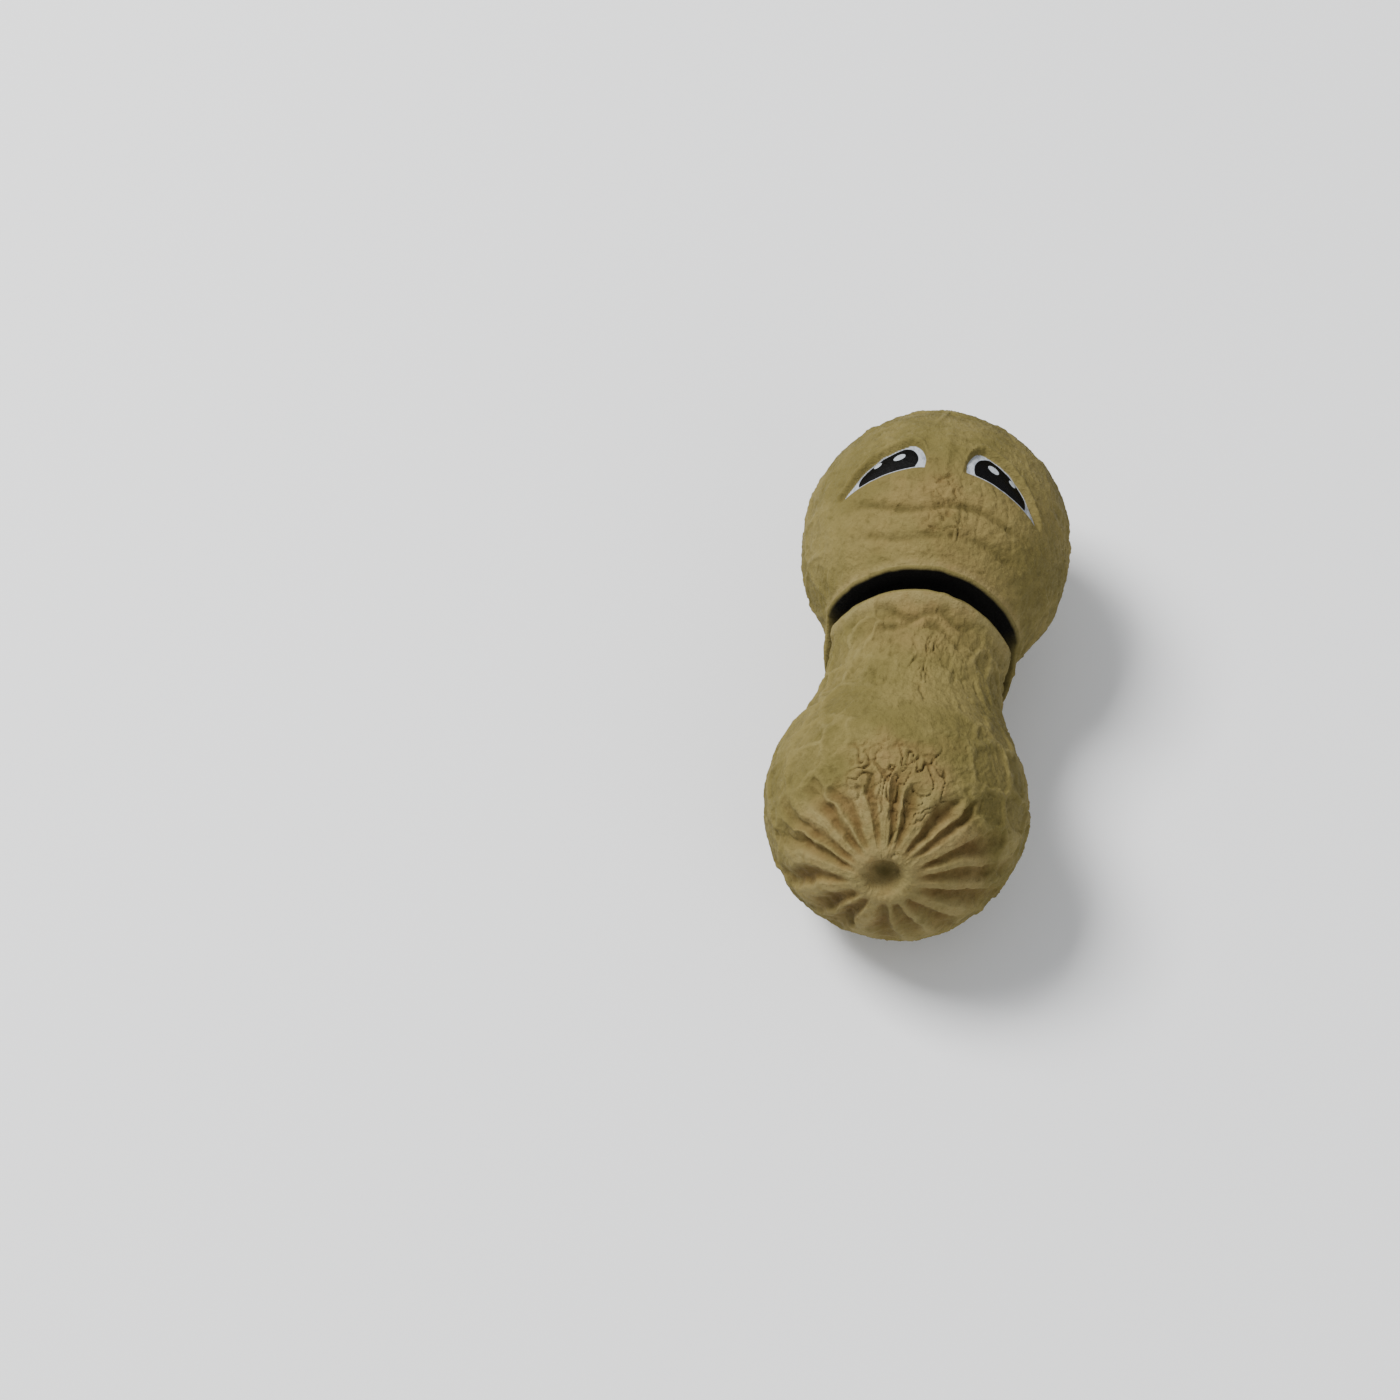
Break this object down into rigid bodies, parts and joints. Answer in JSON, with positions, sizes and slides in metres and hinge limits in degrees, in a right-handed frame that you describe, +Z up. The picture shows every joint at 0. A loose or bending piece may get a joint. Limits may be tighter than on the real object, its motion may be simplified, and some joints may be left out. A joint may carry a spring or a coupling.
{
  "type": "novelty peanut figure",
  "caption": "Small matte figure shaped like a peanut in its shell, with a painted sleepy toy face on the head lobe and a star of grooves round a dimple on the near end.",
  "frame": {"origin": "middle of the figure's box in X and Y, on the surface that it lies on", "axes": "+Y along the figure from the body lobe to the head lobe, +Z up out of the face, +X to the right of the face as seen from the body's end"},
  "size_m": [0.02, 0.042, 0.0197],
  "materials": {
    "painted_head": "matte olive-tan paint, with white and black eyes",
    "painted_body": "matte olive-tan paint, browner in the grooves"
  },
  "bodies": {
    "root": {"head": "painted_head", "body": "painted_body"}
  },
  "joints": []
}
